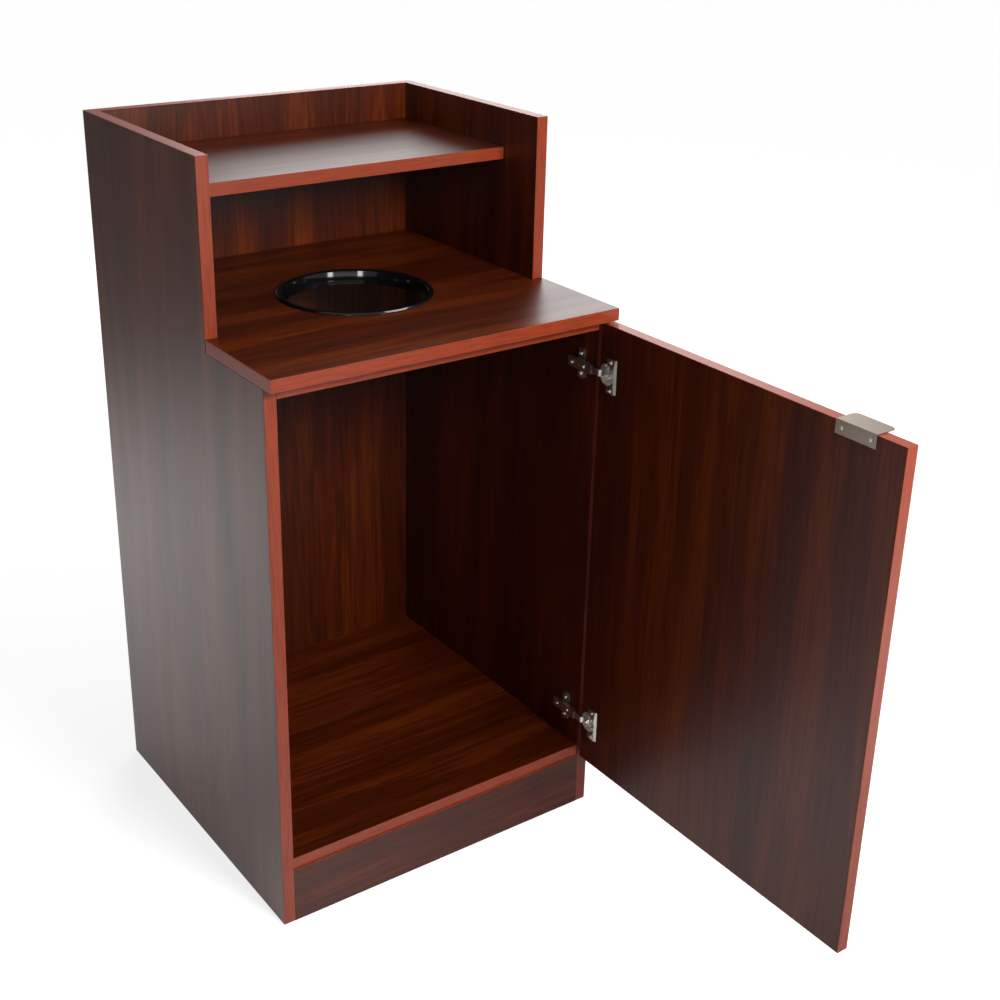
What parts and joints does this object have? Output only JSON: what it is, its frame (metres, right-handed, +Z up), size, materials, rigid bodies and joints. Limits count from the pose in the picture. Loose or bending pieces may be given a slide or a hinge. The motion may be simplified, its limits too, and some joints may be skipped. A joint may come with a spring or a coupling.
{
  "type": "waste receptacle enclosure",
  "caption": "Laminate restaurant waste cabinet with a round drop hole in the counter, a tray shelf above, and a side-hinged door on concealed cup hinges with an edge pull.",
  "frame": {"origin": "on the floor, under the middle of the toe kick's underside", "axes": "+Z up, +Y from the door side towards the back panel, +X towards the hinged side"},
  "size_m": [0.5994, 1.1448, 1.143],
  "materials": {
    "laminate": "satin mahogany laminate on board",
    "edge_banding": "satin woodgrain edge banding",
    "black_plastic": "gloss black",
    "brushed_nickel": "brushed nickel",
    "plated_steel": "nickel plated",
    "beech": "bare beech"
  },
  "bodies": {
    "cabinet": {"back_panel": "laminate", "back_panel_band": "edge_banding", "counter_dowel_left_front": "beech", "counter_dowel_left_rear": "beech", "counter_dowel_right_front": "beech", "counter_dowel_right_rear": "beech", "counter_top": "laminate", "counter_top_band": "edge_banding", "drop_ring": "black_plastic", "floor_dowel_left_front": "beech", "floor_dowel_left_rear": "beech", "floor_dowel_right_front": "beech", "floor_dowel_right_rear": "beech", "floor_panel": "laminate", "floor_panel_band": "edge_banding", "front_rail": "laminate", "front_rail_band": "edge_banding", "left_side_lower_band": "edge_banding", "left_side_panel": "laminate", "left_side_upper_band": "edge_banding", "lower_hinge_arm": "plated_steel", "lower_hinge_arm_screw_front": "plated_steel", "lower_hinge_arm_screw_rear": "plated_steel", "lower_hinge_mounting_plate": "plated_steel", "lower_hinge_plate_screw_high": "plated_steel", "lower_hinge_plate_screw_low": "plated_steel", "rear_rail": "laminate", "right_side_lower_band": "edge_banding", "right_side_panel": "laminate", "right_side_upper_band": "edge_banding", "shelf_dowel_left_front": "beech", "shelf_dowel_left_rear": "beech", "shelf_dowel_right_front": "beech", "shelf_dowel_right_rear": "beech", "toe_kick": "laminate", "toe_kick_band": "edge_banding", "tray_shelf": "laminate", "tray_shelf_band": "edge_banding", "upper_hinge_arm": "plated_steel", "upper_hinge_arm_screw_front": "plated_steel", "upper_hinge_arm_screw_rear": "plated_steel", "upper_hinge_mounting_plate": "plated_steel", "upper_hinge_plate_screw_high": "plated_steel", "upper_hinge_plate_screw_low": "plated_steel"},
    "door": {"door_band": "edge_banding", "door_panel": "laminate", "door_pull": "brushed_nickel", "door_pull_screw_left": "plated_steel", "door_pull_screw_right": "plated_steel", "lower_hinge_cup": "plated_steel", "lower_hinge_cup_screw_high": "plated_steel", "lower_hinge_cup_screw_low": "plated_steel", "lower_hinge_pin": "plated_steel", "upper_hinge_cup": "plated_steel", "upper_hinge_cup_screw_high": "plated_steel", "upper_hinge_cup_screw_low": "plated_steel", "upper_hinge_pin": "plated_steel"}
  },
  "joints": [
    {"name": "door_swing", "type": "hinge", "parent": "cabinet", "child": "door", "pos_m": [0.2822, -0.0231, 0.48], "axis": [0, 0, 1], "range_deg": [-90, 10]}
  ]
}
